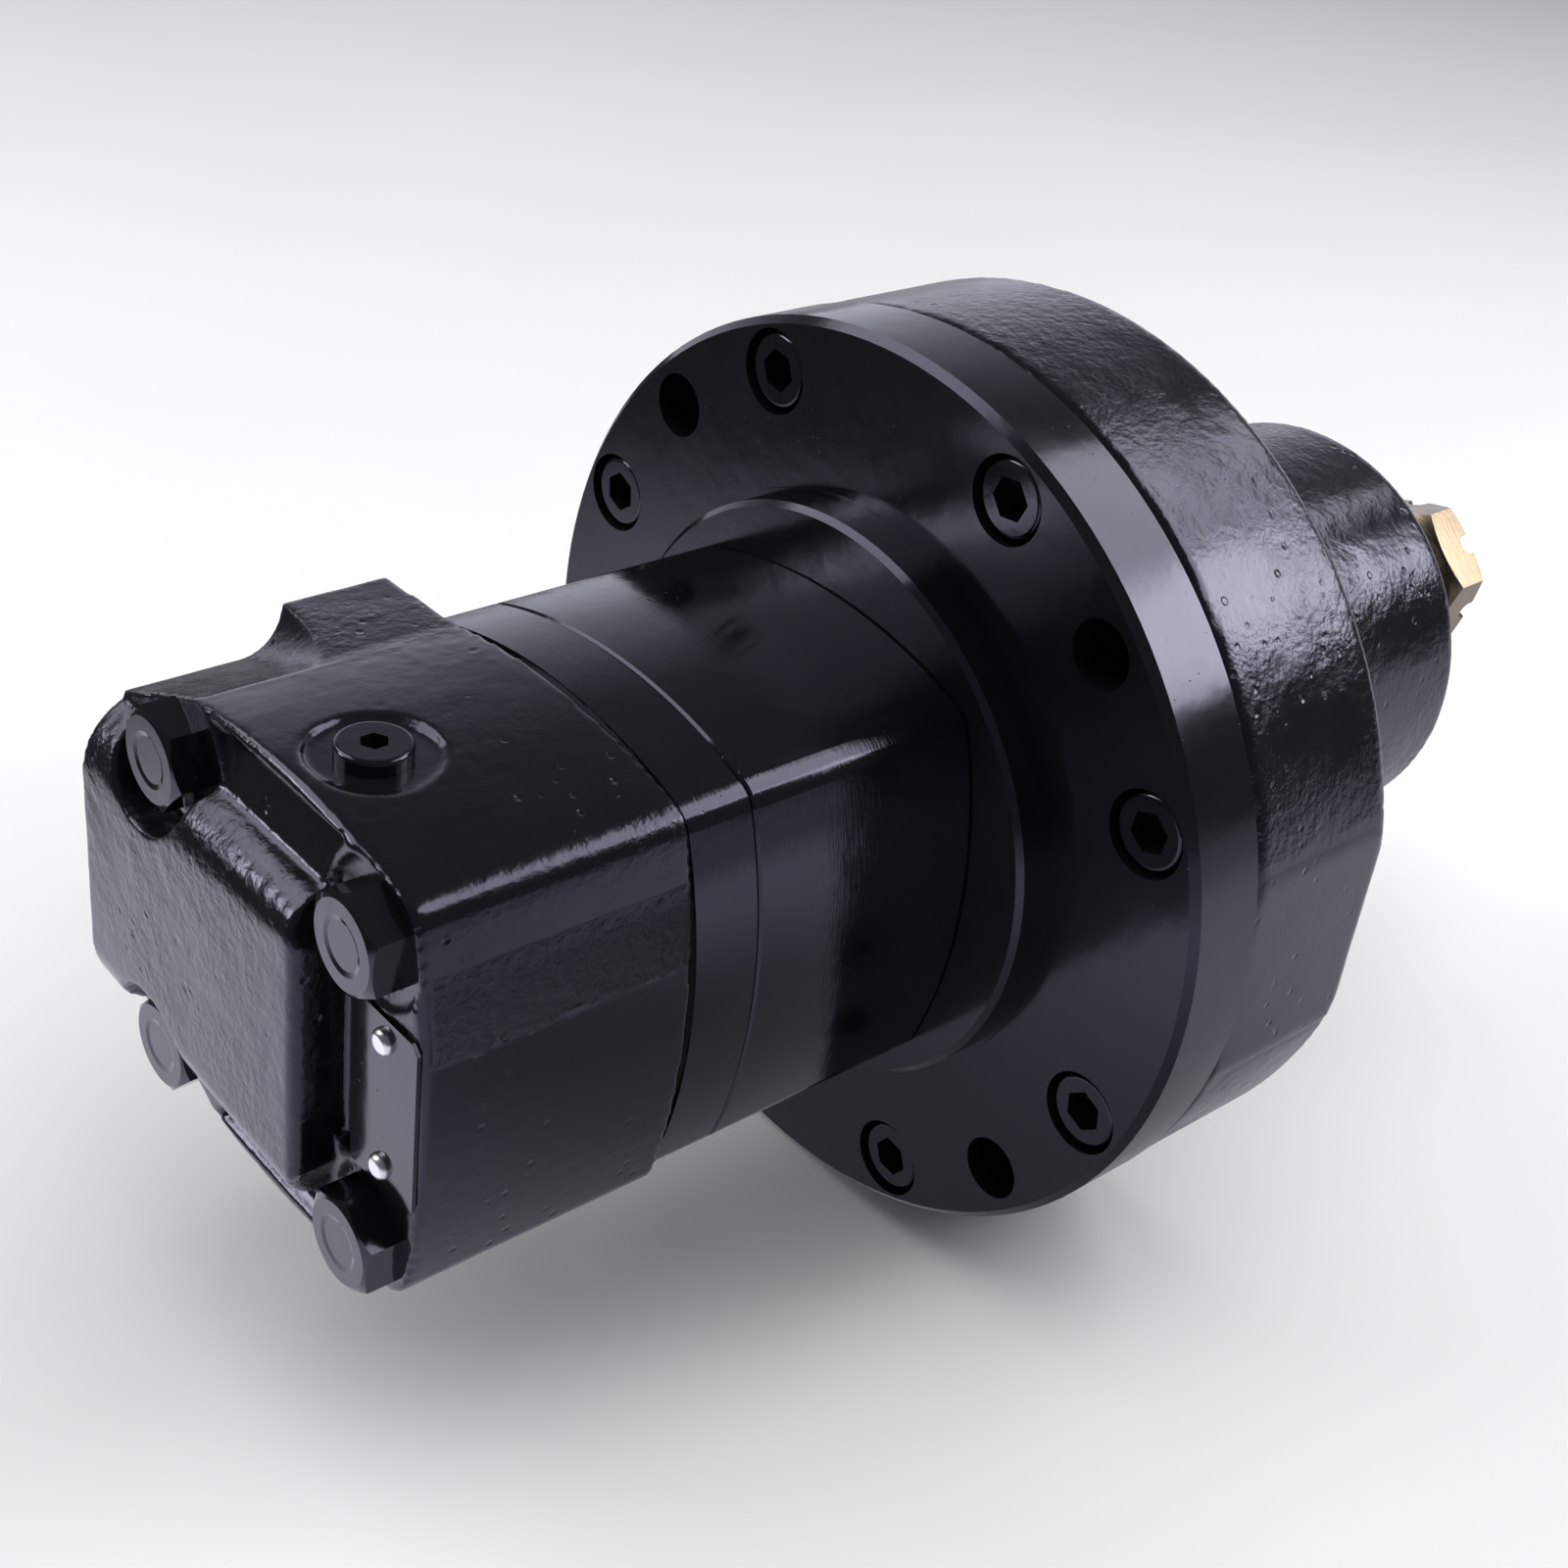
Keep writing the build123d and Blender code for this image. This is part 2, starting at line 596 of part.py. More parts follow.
# -------------------------------------------------------------- brake housing
# the nose of the same casting, with the bearing bores and the seal bore
with BuildPart() as bearing_housing:
    add(turned([(drum_end, 44.5), (drum_end, nose_r + 4.0), (drum_end + 1.2, nose_r + 1.2),
                (drum_end + 4.0, nose_r), (nose_end - 1.2, nose_r), (nose_end, nose_r - 1.2),
                (nose_end, 42.5), (146.0, 42.5), (146.0, 40.6), (132.75, 40.6), (132.75, 40.0),
                (108.0, 40.0), (108.0, 36.0), (86.75, 36.0), (86.75, 42.5), (62.0, 42.5)]))
bearing_housing.part.label = "bearing_housing"
export_step(bearing_housing.part, "parts/bearing_housing.step")

with BuildPart() as brake_housing:
    add(turned([(flange_t, brake_bore1), (flange_t, drum_r - 0.9), (flange_t + 0.9, drum_r),
                (drum_end - 1.5, drum_r), (drum_end, drum_r - 1.5), (drum_end, 44.5),
                (48.0, 44.5), (48.0, brake_bore2), (27.5, brake_bore2), (27.5, brake_bore1)]))
    # machined side flats
    for sgn in (1, -1):
        with BuildSketch(XS.offset(flange_t - 1.0)):
            with Locations((sgn * (drum_flat + 5.0), 0)):
                Rectangle(10.0, 60.0)
        extrude(amount=drum_end - flange_t + 2.0, mode=Mode.SUBTRACT)
    # lug slots of the fixed discs
    with BuildSketch(XS.offset(30.0)):
        with PolarLocations(75.0, 8):
            Rectangle(5.0, 12.6)
    extrude(amount=18.0, mode=Mode.SUBTRACT)
    # screw and mounting threads
    with BuildSketch(XS.offset(flange_t)):
        with PolarLocations(clamp_r, 8, start_angle=22.5):
            Circle(m10_r + 0.02)
    extrude(amount=28.0, mode=Mode.SUBTRACT)
    with BuildSketch(XS.offset(flange_t)):
        with PolarLocations(mount_bolt_r, 4, start_angle=45):
            Circle(m16_r)
    extrude(amount=22.0, mode=Mode.SUBTRACT)
    # brake release port on the +Y flat and its drillings
    with BuildSketch(Plane.XZ.offset(-drum_flat)):
        with Locations((36.0, 0)):
            Circle(9.0)
    extrude(amount=0.6, mode=Mode.SUBTRACT)
    with BuildSketch(Plane.XZ.offset(-drum_flat)):
        with Locations((36.0, 0)):
            Circle(4.97)
    extrude(amount=13.0, mode=Mode.SUBTRACT)
    with BuildSketch(Plane.XZ.offset(-drum_flat)):
        with Locations((36.0, 0)):
            Circle(2.0)
    extrude(amount=17.6, mode=Mode.SUBTRACT)
    with BuildSketch(XS.offset(27.0)):
        with Locations((79.5 - 0.9, 0)):
            Circle(1.0)
    extrude(amount=9.0, mode=Mode.SUBTRACT)
brake_housing.part.label = "brake_housing"
export_step(brake_housing.part, "parts/brake_housing.step")

# ------------------------------------------------------------ brake piston
with BuildPart() as brake_piston:
    add(turned([(20.5, 46.0), (20.5, brake_bore1 - 1.0), (21.0, brake_bore1 - 0.05),
                (22.0, brake_bore1 - 0.05), (22.0, 78.0), (24.4, 78.0),
                (24.4, brake_bore1 - 0.05), (26.0, brake_bore1 - 0.05),
                (26.0, brake_bore2 - 0.05), (27.4, brake_bore2 - 0.05), (27.4, 72.0),
                (29.6, 72.0), (29.6, brake_bore2 - 0.05), (30.0, brake_bore2 - 0.3),
                (30.0, 46.0)]))
brake_piston.part.label = "brake_piston"
export_step(brake_piston.part, "parts/brake_piston.step")

with BuildPart() as piston_seals:
    add(torus_x(23.2, 78.98, 0.93))
    add(torus_x(28.5, 72.98, 0.93))
piston_seals.part.label = "piston_seals"
export_step(piston_seals.part, "parts/piston_seals.step")

# coil springs in the flange pockets, one closed coil stack each
with BuildPart(Plane.YZ) as brake_springs:
    with PolarLocations(66.0, 12, start_angle=15):
        with BuildPart(mode=Mode.PRIVATE) as coil:
            for k in range(5):
                with BuildSketch(Plane.XZ):
                    with Locations((3.9, 7.05 + k * 2.98)):
                        Circle(0.95)
                revolve(axis=Axis.Z)
            with BuildSketch(Plane.XY.offset(6.1)):
                with Locations((3.9, 0)):
                    Rectangle(0.9, 0.9)
            extrude(amount=13.8)
        add(coil.part)
brake_springs.part.label = "brake_springs"
export_step(brake_springs.part, "parts/brake_springs.step")

# --------------------------------------------------------------- brake discs
with BuildPart() as brake_stator_discs:
    for k in range(4):
        with BuildSketch(XS.offset(disc_x0 + 2 * k * disc_pitch)) as sd:
            Circle(73.6)
            with PolarLocations(72.0, 8):
                Rectangle(10.4, 12.0)
            Circle(43.5, mode=Mode.SUBTRACT)
        extrude(amount=disc_t)
brake_stator_discs.part.label = "brake_stator_discs"
export_step(brake_stator_discs.part, "parts/brake_stator_discs.step")

with BuildPart() as brake_rotor_discs:
    for k in range(3):
        with BuildSketch(XS.offset(disc_x0 + (2 * k + 1) * disc_pitch)):
            Circle(70.0)
            Circle(39.3, mode=Mode.SUBTRACT)
            with PolarLocations(38.6, 16, start_angle=11.25):
                Rectangle(3.2, 8.6)
        extrude(amount=disc_t)
        with BuildSketch(XS.offset(disc_x0 + (2 * k + 1) * disc_pitch - 1)):
            Circle(36.95)
        extrude(amount=disc_t + 2, mode=Mode.SUBTRACT)
brake_rotor_discs.part.label = "brake_rotor_discs"
export_step(brake_rotor_discs.part, "parts/brake_rotor_discs.step")

# -------------------------------------------------------------- output shaft
taper_x0, taper_x1, taper_r0, taper_r1 = 159.0, 197.0, 15.875, 13.5
key_x0, key_x1, key_w = 163.0, 189.0, 7.94
with BuildPart() as output_shaft:
    add(turned([(21.0, 0), (21.0, 36.0), (21.5, 36.5), (46.5, 36.5), (47.0, 36.0), (47.0, 28.0),
                (62.0, 28.0), (62.0, 22.49), (87.0, 22.49), (87.5, 21.0), (108.0, 21.0),
                (108.5, 19.99), (133.0, 19.99), (133.0, 19.9), (141.0, 19.9), (141.6, 19.0),
                (156.6, 19.0), (157.4, 17.2), (taper_x0, taper_r0), (taper_x1, taper_r1),
                (taper_x1 + 0.6, 12.65), (212.0, 12.65), (213.2, 11.4), (213.2, 0)]))
    # hub teeth for the rotating discs
    with BuildSketch(XS.offset(22.0)):
        with PolarLocations(36.5, 16):
            Rectangle(5.0, 5.0)
    extrude(amount=24.5)
    # internal spline
    with BuildSketch(XS.offset(20.0)) as sb:
        Circle(spl_root)
        with PolarLocations(spl_tip / 2, 12):
            Rectangle(spl_tip, 4.0)
        Circle(spl_tip, mode=Mode.INTERSECT)
    extrude(amount=29.0, mode=Mode.SUBTRACT)
    with BuildSketch(XS.offset(44.0)):
        Circle(15.8)
    extrude(amount=6.0, mode=Mode.SUBTRACT)
    # lead-in for the drive link
    with BuildSketch(XS.offset(21.0)):
        Circle(16.5)
    extrude(amount=1.0, mode=Mode.SUBTRACT)
    # keyway
    with BuildSketch(Plane.XY.offset(11.0)):
        with Locations(((key_x0 + key_x1) / 2, 0)):
            SlotOverall(key_x1 - key_x0, key_w)
    extrude(amount=8.0, mode=Mode.SUBTRACT)
    # centre drilling in the threaded end
    with BuildSketch(XS.offset(213.2)):
        Circle(2.5)
    extrude(amount=-6.0, mode=Mode.SUBTRACT)
output_shaft.part.label = "output_shaft"
export_step(output_shaft.part, "parts/output_shaft.step")

with BuildPart() as shaft_key:
    with BuildSketch(Plane.XY.offset(11.02)):
        with Locations(((key_x0 + key_x1) / 2, 0)):
            SlotOverall(key_x1 - key_x0 - 0.04, key_w - 0.03)
    extrude(amount=7.9)
    chamfer(shaft_key.faces().sort_by(Axis.Z)[-1].edges(), 0.4)
shaft_key.part.label = "shaft_key"
export_step(shaft_key.part, "parts/shaft_key.step")

# --------------------------------------------------------------- castle nut
with BuildPart() as castle_nut:
    with BuildSketch(XS.offset(nut_start)):
        RegularPolygon(nut_af / 2, 6, major_radius=False, rotation=44.0)
        Circle(12.68, mode=Mode.SUBTRACT)
    extrude(amount=nut_end - nut_start)
    # thirty degree corners on the seat side, light break on the slotted side
    with BuildSketch(Plane.XY):
        with BuildLine():
            r0 = nut_af / 2 - 0.2
            Polyline((nut_start - 1.0, r0 - 0.6), (nut_start, r0), (nut_start + 2.0, r0 + 3.4),
                     (nut_start - 1.0, r0 + 4.4), close=True)
        make_face()
        with BuildLine():
            Polyline((nut_end + 1.0, r0 - 0.5), (nut_end, r0 - 0.5), (nut_end - 2.2, r0 + 3.3),
                     (nut_end + 1.0, r0 + 4.4), close=True)
        make_face()
    revolve(axis=Axis.X, mode=Mode.SUBTRACT)
    with BuildSketch(XS.offset(nut_end)):
        with PolarLocations(17.5, 6, start_angle=14.0):
            Rectangle(14.0, 5.2)
    extrude(amount=-1.6, mode=Mode.SUBTRACT)
    # round bottoms of the slots
    for k in range(6):
        a = radians(14.0 + 60.0 * k)
        with BuildSketch(Plane(origin=(nut_end - 1.6, 10.5 * cos(a), 10.5 * sin(a)),
                               x_dir=(1, 0, 0), z_dir=(0, cos(a), sin(a)))):
            Circle(2.6)
        extrude(amount=14.0, mode=Mode.SUBTRACT)
    chamfer(castle_nut.edges().filter_by(GeomType.CIRCLE).filter_by(
        lambda e: e.radius < 12.8 and e.center().X < nut_start + 0.5), 0.8)
castle_nut.part.label = "castle_nut"
export_step(castle_nut.part, "parts/castle_nut.step")

# ----------------------------------------------------------------- bearings


def roller_body(apex, xa, xb, grow):
    """One tapered roller whose axis meets the shaft axis at the apex."""
    s = 0.2375
    sgn = 1.0 if apex > xa else -1.0
    beta = 4.3 / 154.07
    ra, rb = s * abs(apex - xa), s * abs(apex - xb)
    da = sqrt((apex - xa) ** 2 + ra ** 2)
    db = sqrt((apex - xb) ** 2 + rb ** 2)
    ux, uy = (xb - xa) / (da - db), (rb - ra) / (da - db)
    pl = Plane(origin=(xa, ra, 0), x_dir=(ux, uy, 0), z_dir=(0, 0, 1))
    with BuildPart() as p:
        with BuildSketch(pl) as sk:
            with BuildLine():
                Polyline((-grow, 0), (-grow, da * beta - 0.04 + grow),
                         (da - db + grow, db * beta - 0.04 + grow), (da - db + grow, 0),
                         close=True)
            make_face()
        revolve(axis=Axis((xa, ra, 0), (ux, uy, 0)))
    return p.part


def bearing(name, back, sgn, bore, outer, cup_near, cup_far, cone_far, big_x, small_x, reach):
    """Tapered roller bearing set: cone, cup, cage and rollers.

    back is the cone's back face and sgn the direction from it to the small end."""
    apex = big_x + sgn * reach
    ri = lambda x: 0.2082 * abs(apex - x)
    ro = lambda x: 0.2672 * abs(apex - x)
    lo, hi = cup_near, cup_far
    with BuildPart() as cup:
        add(turned([(lo, outer - 0.8), (lo, ro(lo)), (hi, ro(hi)), (hi, outer - 0.8),
                    (hi - sgn * 0.8, outer), (lo + sgn * 0.8, outer)]))
    cup.part.label = name + "_cup"
    export_step(cup.part, "parts/" + name + "_cup.step")
    b1 = big_x - sgn * 1.3
    s1 = small_x - sgn * 0.4
    with BuildPart() as cone:
        add(turned([(back, bore), (back, ri(b1) + 2.4), (b1, ri(b1) + 2.4), (b1, ri(b1)),
                    (s1, ri(s1)), (s1, ri(s1) + 0.9), (cone_far, ri(s1) + 0.7),
                    (cone_far, bore)]))
    cone.part.label = name + "_cone"
    export_step(cone.part, "parts/" + name + "_cone.step")
    one = roller_body(apex, big_x, small_x, 0.0)
    gap = roller_body(apex, big_x, small_x, 0.12)
    n = 18
    with BuildPart() as rollers:
        add([one.rotate(Axis.X, 360.0 * k / n) for k in range(n)])
    rollers.part.label = name + "_rollers"
    export_step(rollers.part, "parts/" + name + "_rollers.step")
    mid = lambda x: 0.2375 * abs(apex - x)
    c0, c1 = big_x - sgn * 1.9, small_x + sgn * 1.6
    with BuildPart() as cage:
        add(turned([(c0, mid(c0) + 0.5), (c0, mid(c0) + 1.9), (c1, mid(c1) + 1.9),
                    (c1, mid(c1) + 0.5)]))
        add([gap.rotate(Axis.X, 360.0 * k / n) for k in range(n)], mode=Mode.SUBTRACT)
    cage.part.label = name + "_cage"
    export_step(cage.part, "parts/" + name + "_cage.step")


bearing("rear_bearing", 62.0, 1, 22.5, 42.49, 67.75, 86.75, 85.0, 65.8, 81.8, 149.9)
bearing("front_bearing", 133.0, -1, 20.0, 39.99, 127.0, 108.0, 110.0, 129.2, 113.2, 137.3)

with BuildPart() as bearing_lock_nut:
    add(ring(133.05, 141.0, 19.92, 28.0))
    chamfer(bearing_lock_nut.edges().filter_by(GeomType.CIRCLE).group_by(SortBy.RADIUS)[-1], 0.8)
    with BuildSketch(XS.offset(133.05)):
        with PolarLocations(28.0, 4):
            Rectangle(5.0, 6.0)
    extrude(amount=8.0, mode=Mode.SUBTRACT)
bearing_lock_nut.part.label = "bearing_lock_nut"
export_step(bearing_lock_nut.part, "parts/bearing_lock_nut.step")

# ----------------------------------------------------------------- shaft seal
with BuildPart() as shaft_seal:
    add(turned([(155.4, 42.2), (155.8, 41.8), (155.8, 24.0), (155.0, 22.6), (152.2, 20.4),
                (151.0, 19.06), (150.0, 20.2), (149.6, 23.2), (151.4, 24.6), (153.2, 25.6),
                (153.2, 38.6), (146.4, 38.6), (146.4, 42.0), (146.9, 42.47), (155.0, 42.47)]))
shaft_seal.part.label = "shaft_seal"
export_step(shaft_seal.part, "parts/shaft_seal.step")
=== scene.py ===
import bpy, bmesh, math
import numpy as np
from mathutils import Matrix, Vector


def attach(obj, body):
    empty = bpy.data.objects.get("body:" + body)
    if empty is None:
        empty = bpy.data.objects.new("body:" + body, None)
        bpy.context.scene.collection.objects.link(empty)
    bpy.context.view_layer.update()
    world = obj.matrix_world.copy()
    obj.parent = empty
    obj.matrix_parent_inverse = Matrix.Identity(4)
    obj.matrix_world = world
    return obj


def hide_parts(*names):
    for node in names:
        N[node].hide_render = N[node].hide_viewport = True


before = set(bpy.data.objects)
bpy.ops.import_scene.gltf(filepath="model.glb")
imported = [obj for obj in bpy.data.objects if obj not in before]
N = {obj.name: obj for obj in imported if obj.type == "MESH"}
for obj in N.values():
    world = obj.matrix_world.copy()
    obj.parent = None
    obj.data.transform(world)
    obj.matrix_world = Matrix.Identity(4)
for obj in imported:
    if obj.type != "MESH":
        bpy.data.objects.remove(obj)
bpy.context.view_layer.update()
COL = bpy.context.scene.collection

# ------------------------------------------------------------------ camera
cam_data = bpy.data.cameras.new("camera")
cam_data.lens = 52.4134
cam_data.sensor_width = 36.0
cam_data.clip_start = 0.01
cam_data.clip_end = 50.0
cam = bpy.data.objects.new("camera", cam_data)
COL.objects.link(cam)
right = Vector((0.7546, -0.6463, 0.1134)).normalized()
up = Vector((0.2734, 0.4666, 0.8412))
back = right.cross(up).normalized()
up = back.cross(right).normalized()
cam.matrix_world = Matrix(((right.x, up.x, back.x, -0.3021),
                           (right.y, up.y, back.y, -0.2908),
                           (right.z, up.z, back.z, 0.2592),
                           (0, 0, 0, 1)))
bpy.context.scene.camera = cam
try:
    bpy.context.scene.view_settings.view_transform = "Standard"
    bpy.context.scene.view_settings.look = "None"
except Exception:
    pass


# ------------------------------------------------------------ node helpers
class Mat:
    """Small helper to write node trees: every call adds a node and returns its socket."""

    def __init__(self, name):
        self.m = bpy.data.materials.new(name)
        self.m.use_nodes = True
        self.t = self.m.node_tree
        self.t.nodes.clear()
        self.out = self.t.nodes.new("ShaderNodeOutputMaterial")
        tc = self.t.nodes.new("ShaderNodeTexCoord")
        self.co = tc.outputs["Object"]

    def n(self, kind, **kw):
        nd = self.t.nodes.new("ShaderNode" + kind)
        for k, v in kw.items():
            setattr(nd, k, v)
        return nd

    def link(self, a, b):
        self.t.links.new(a, b)

    def put(self, sock, v):
        if hasattr(v, "is_output") or isinstance(v, bpy.types.NodeSocket):
            self.link(v, sock)
        else:
            sock.default_value = v

    def noise(self, scale, detail=2.0, rough=0.5, co=None, distortion=0.0):
        nd = self.n("TexNoise")
        self.link(co or self.co, nd.inputs["Vector"])
        nd.inputs["Scale"].default_value = scale
        nd.inputs["Detail"].default_value = detail
        nd.inputs["Roughness"].default_value = rough
        nd.inputs["Distortion"].default_value = distortion
        return nd.outputs["Fac"]

    def voronoi(self, scale, feature="F1", co=None, rand=1.0):
        nd = self.n("TexVoronoi", feature=feature)
        self.link(co or self.co, nd.inputs["Vector"])
        nd.inputs["Scale"].default_value = scale
        nd.inputs["Randomness"].default_value = rand
        return nd.outputs["Distance"]

    def ramp(self, fac, a, b, lo=0.0, hi=1.0):
        """Linear map of fac from a..b to lo..hi, clamped."""
        nd = self.n("MapRange")
        self.put(nd.inputs["Value"], fac)
        for k, v in (("From Min", a), ("From Max", b), ("To Min", lo), ("To Max", hi)):
            nd.inputs[k].default_value = v
        return nd.outputs["Result"]

    def math(self, op, a, b=None, clamp=False):
        nd = self.n("Math", operation=op, use_clamp=clamp)
        self.put(nd.inputs[0], a)
        if b is not None:
            self.put(nd.inputs[1], b)
        return nd.outputs[0]

    def mix(self, fac, a, b):
        nd = self.n("Mix", data_type="RGBA")
        self.put(nd.inputs[0], fac)
        self.put(nd.inputs[6], a)
        self.put(nd.inputs[7], b)
        return nd.outputs[2]

    def scaled(self, s):
        nd = self.n("Mapping")
        self.link(self.co, nd.inputs["Vector"])
        nd.inputs["Scale"].default_value = s
        return nd.outputs["Vector"]

    def bump(self, height, dist, strength=1.0, prev=None):
        nd = self.n("Bump")
        self.put(nd.inputs["Height"], height)
        nd.inputs["Distance"].default_value = dist
        nd.inputs["Strength"].default_value = strength
        if prev is not None:
            self.link(prev, nd.inputs["Normal"])
        return nd.outputs["Normal"]

    def principled(self, color, rough, normal=None, **consts):
        p = self.n("BsdfPrincipled")
        self.put(p.inputs["Base Color"], color)
        self.put(p.inputs["Roughness"], rough)
        if normal is not None:
            self.link(normal, p.inputs["Normal"])
        for k, v in consts.items():
            p.inputs[k.replace("_", " ")].default_value = v
        self.link(p.outputs[0], self.out.inputs["Surface"])
        return p


def paint(name, cast=1.0, peel=1.0, brush=0.0, side_band=False, zones=None, rough_add=0.0):
    """Thick black gloss enamel. cast: sand grain and pits; peel: orange peel; brush: polishing marks."""
    m = Mat(name)
    # colour: blue-black with faint dusty and brownish patches
    c1 = m.mix(m.ramp(m.noise(22, 4), 0.35, 0.7), (0.0036, 0.0037, 0.0046, 1), (0.0062, 0.0064, 0.0078, 1))
    dust = m.ramp(m.noise(420, 6, 0.65), 0.60, 0.8)
    dusty = m.math("MULTIPLY", dust, m.ramp(m.noise(30, 3), 0.45, 0.65, 0.0, 0.30))
    col = m.mix(dusty, c1, (0.022, 0.019, 0.018, 1))
    # height
    nrm = m.bump(m.noise(48, 2, 0.5), 0.00055 * peel, 0.4, None)
    nrm = m.bump(m.noise(230, 2, 0.5), 0.00010 * peel, 0.5, nrm)
    rough = m.ramp(m.noise(80, 4, 0.6), 0.3, 0.75, 0.07 + 0.05 * cast + rough_add, 0.14 + 0.07 * cast + rough_add)
    if cast > 0:
        area = m.ramp(m.noise(26, 3, 0.6), 0.40, 0.60, 0.25, 1.0)
        if zones is not None:
            area = m.math("MULTIPLY", area, zones(m))
        grain = m.math("MULTIPLY", m.noise(620, 4, 0.6), area)
        nrm = m.bump(grain, 0.00048 * cast, 0.5, nrm)
        lump = m.math("MULTIPLY", m.noise(330, 2, 0.5), area)
        nrm = m.bump(lump, 0.00042 * cast, 0.5, nrm)
        pit = m.ramp(m.voronoi(210), 0.05, 0.2)
        pitarea = m.ramp(m.noise(30, 2), 0.50, 0.58)
        keep = m.math("MAXIMUM", pit, m.math("SUBTRACT", 1.0, pitarea))
        nrm = m.bump(keep, 0.0004 * cast, 0.5, nrm)
    if side_band:
        sp = m.n("SeparateXYZ")
        m.link(m.co, sp.inputs[0])
        wob = m.ramp(m.noise(160, 3), 0.3, 0.7, -0.0012, 0.0012)
        zz = m.math("ADD", sp.outputs[2], wob)
        lo = m.ramp(zz, BAND[0] - 0.0006, BAND[0] + 0.0006)
        hi = m.ramp(zz, BAND[1] - 0.0006, BAND[1] + 0.0006, 1.0, 0.0)
        sd = m.ramp(sp.outputs[1], -0.0455, -0.0465, 0.0, 1.0)
        xs = m.ramp(sp.outputs[0], -0.1338, -0.1325, 0.0, 1.0)
        mask = m.math("MULTIPLY", m.math("MULTIPLY", lo, hi), m.math("MULTIPLY", sd, xs))
        g2 = m.math("MULTIPLY", m.noise(430, 5, 0.65), mask)
        nrm = m.bump(g2, 0.0017, 0.6, nrm)
        rough = m.math("SUBTRACT", rough, m.math("MULTIPLY", mask, 0.02))
        # painted shade: the band's base colour is darkened to stand in for its dimmer reflection
        col = m.mix(m.math("MULTIPLY", mask, 0.8), col, (0.0030, 0.0028, 0.0030, 1))
    if brush > 0:
        br = m.noise(1.0, 3, 0.6, co=m.scaled((1900.0, 150.0, 150.0)))
        zone = m.ramp(m.noise(45, 3, 0.6), 0.40, 0.62, 0.25, 1.0)
        nrm = m.bump(m.math("MULTIPLY", br, zone), 0.00007 * brush, 0.5, nrm)
        spot = m.ramp(m.voronoi(330), 0.03, 0.10)
        nrm = m.bump(spot, 0.00010, 0.25, nrm)
    m.principled(col, rough, nrm, IOR=1.60, Specular_Tint=(0.74, 0.74, 1.0, 1.0))
    return m.m


BAND = (0.0138, 0.0312)


def end_zones(m):
    """Sand texture of the end casting: strong at the back and on the corner, weak on the top plate and side."""
    sp = m.n("SeparateXYZ")
    m.link(m.co, sp.inputs[0])
    back = m.ramp(sp.outputs[0], -0.1325, -0.1375, 0.0, 1.0)
    corner = m.math("MULTIPLY", m.ramp(sp.outputs[1], -0.0380, -0.0420, 0.0, 1.0),
                    m.ramp(sp.outputs[2], 0.0330, 0.0370, 0.0, 1.0))
    boss = m.ramp(sp.outputs[1], 0.024, 0.030, 0.0, 0.9)
    return m.math("MAXIMUM", m.math("MAXIMUM", back, corner), m.math("MAXIMUM", boss, 0.22))


def drum_zones(m):
    """Sand texture of the brake casting, with smooth machined flats on both sides."""
    sp = m.n("SeparateXYZ")
    m.link(m.co, sp.inputs[0])
    ay = m.math("ABSOLUTE", sp.outputs[1])
    flat = m.ramp(ay, 0.0958, 0.0964, 1.0, 0.12)
    return flat


def metal(name, color, rough=(0.2, 0.35), turned=True, tint=None, scratch=1.0, rust=0.0):
    """Machined or plated metal with turning marks about X, stains and fine scratches."""
    m = Mat(name)
    patch = m.ramp(m.noise(60, 4, 0.6), 0.35, 0.7)
    col = m.mix(patch, tuple(c * 0.86 for c in color[:3]) + (1,), tuple(color[:3]) + (1,))
    if tint:
        col = m.mix(m.ramp(m.noise(120, 2, 0.5, distortion=1.5), 0.45, 0.7, 0.0, 0.6), col, tuple(tint) + (1,))
    if rust:
        col = m.mix(m.ramp(m.noise(300, 6, 0.7), 0.6, 0.75, 0.0, rust), col, (0.08, 0.045, 0.03, 1))
    nrm = None
    if turned:
        lines = m.noise(1.0, 3, 0.6, co=m.scaled((2600.0, 40.0, 40.0)))
        nrm = m.bump(lines, 0.00004 * scratch, 0.5, nrm)
    nrm = m.bump(m.noise(900, 3, 0.6), 0.00004 * scratch, 0.4, nrm)
    r = m.ramp(m.noise(240, 4, 0.6), 0.3, 0.7, rough[0], rough[1])
    m.principled(col, r, nrm, Metallic=1.0)
    return m.m


def rubber(name):
    m = Mat(name)
    col = m.mix(m.ramp(m.noise(180, 5, 0.6), 0.4, 0.7), (0.012, 0.012, 0.012, 1), (0.03, 0.029, 0.028, 1))
    nrm = m.bump(m.noise(1400, 3, 0.6), 0.00005, 0.5)
    m.principled(col, m.ramp(m.noise(90, 3), 0.3, 0.7, 0.42, 0.6), nrm)
    return m.m


